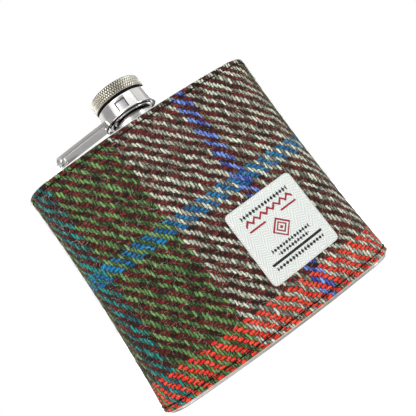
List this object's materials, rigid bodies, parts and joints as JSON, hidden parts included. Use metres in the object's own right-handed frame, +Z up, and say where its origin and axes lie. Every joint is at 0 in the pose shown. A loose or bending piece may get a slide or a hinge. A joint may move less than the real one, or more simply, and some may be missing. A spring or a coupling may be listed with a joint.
{
  "type": "hip flask",
  "caption": "Kidney-section steel hip flask in a sewn tweed cover, with a knurled screw cap held captive by a swinging hinged arm.",
  "frame": {"origin": "on the neck's axis, at the underside of the base", "axes": "+Z up along the neck, -Y out of the convex front, the arm's hinge on the -X side"},
  "size_m": [0.0958, 0.0307, 0.1042],
  "materials": {
    "body_steel": "satin stainless steel",
    "polished_steel": "polished stainless steel",
    "knurled_steel": "knurled stainless steel",
    "washer_rubber": "matt",
    "tweed": "wool twill in a large check",
    "lining_canvas": "matt canvas",
    "label_cloth": "woven satin",
    "black_thread": "sewing thread",
    "white_thread": "sewing thread"
  },
  "bodies": {
    "flask": {"base_plate": "body_steel", "body_wall": "body_steel", "top_plate": "body_steel", "neck_flange": "polished_steel", "neck_tube": "polished_steel", "hinge_bracket": "polished_steel", "hinge_pin": "polished_steel", "cover_lining": "lining_canvas", "tweed_cover": "tweed", "top_stitching": "black_thread", "bottom_stitching": "black_thread", "back_seam_stitching": "black_thread", "woven_label": "label_cloth", "label_stitching": "white_thread"},
    "arm": {"hinge_arm": "polished_steel", "cap_collar": "polished_steel"},
    "washer": {"seal_washer": "washer_rubber"},
    "cap": {"cap_sleeve": "polished_steel", "cap_head": "knurled_steel"}
  },
  "joints": [
    {"name": "arm_swing", "type": "hinge", "parent": "flask", "child": "arm", "pos_m": [-0.0306, 0, 0.0916], "axis": [0, -1, 0], "range_deg": [0, 180]},
    {"name": "cap_rise", "type": "slide", "parent": "arm", "child": "washer", "axis": [0, 0, 1], "range_m": [0, 0.0028]},
    {"name": "cap_turn", "type": "hinge", "parent": "washer", "child": "cap", "pos_m": [0, 0, 0.095], "axis": [0, 0, 1], "range_deg": [0, 720]}
  ],
  "couplings": [
    {"joint": "cap_rise", "follows": "cap_turn", "m_per_rad": 0.00022282}
  ]
}
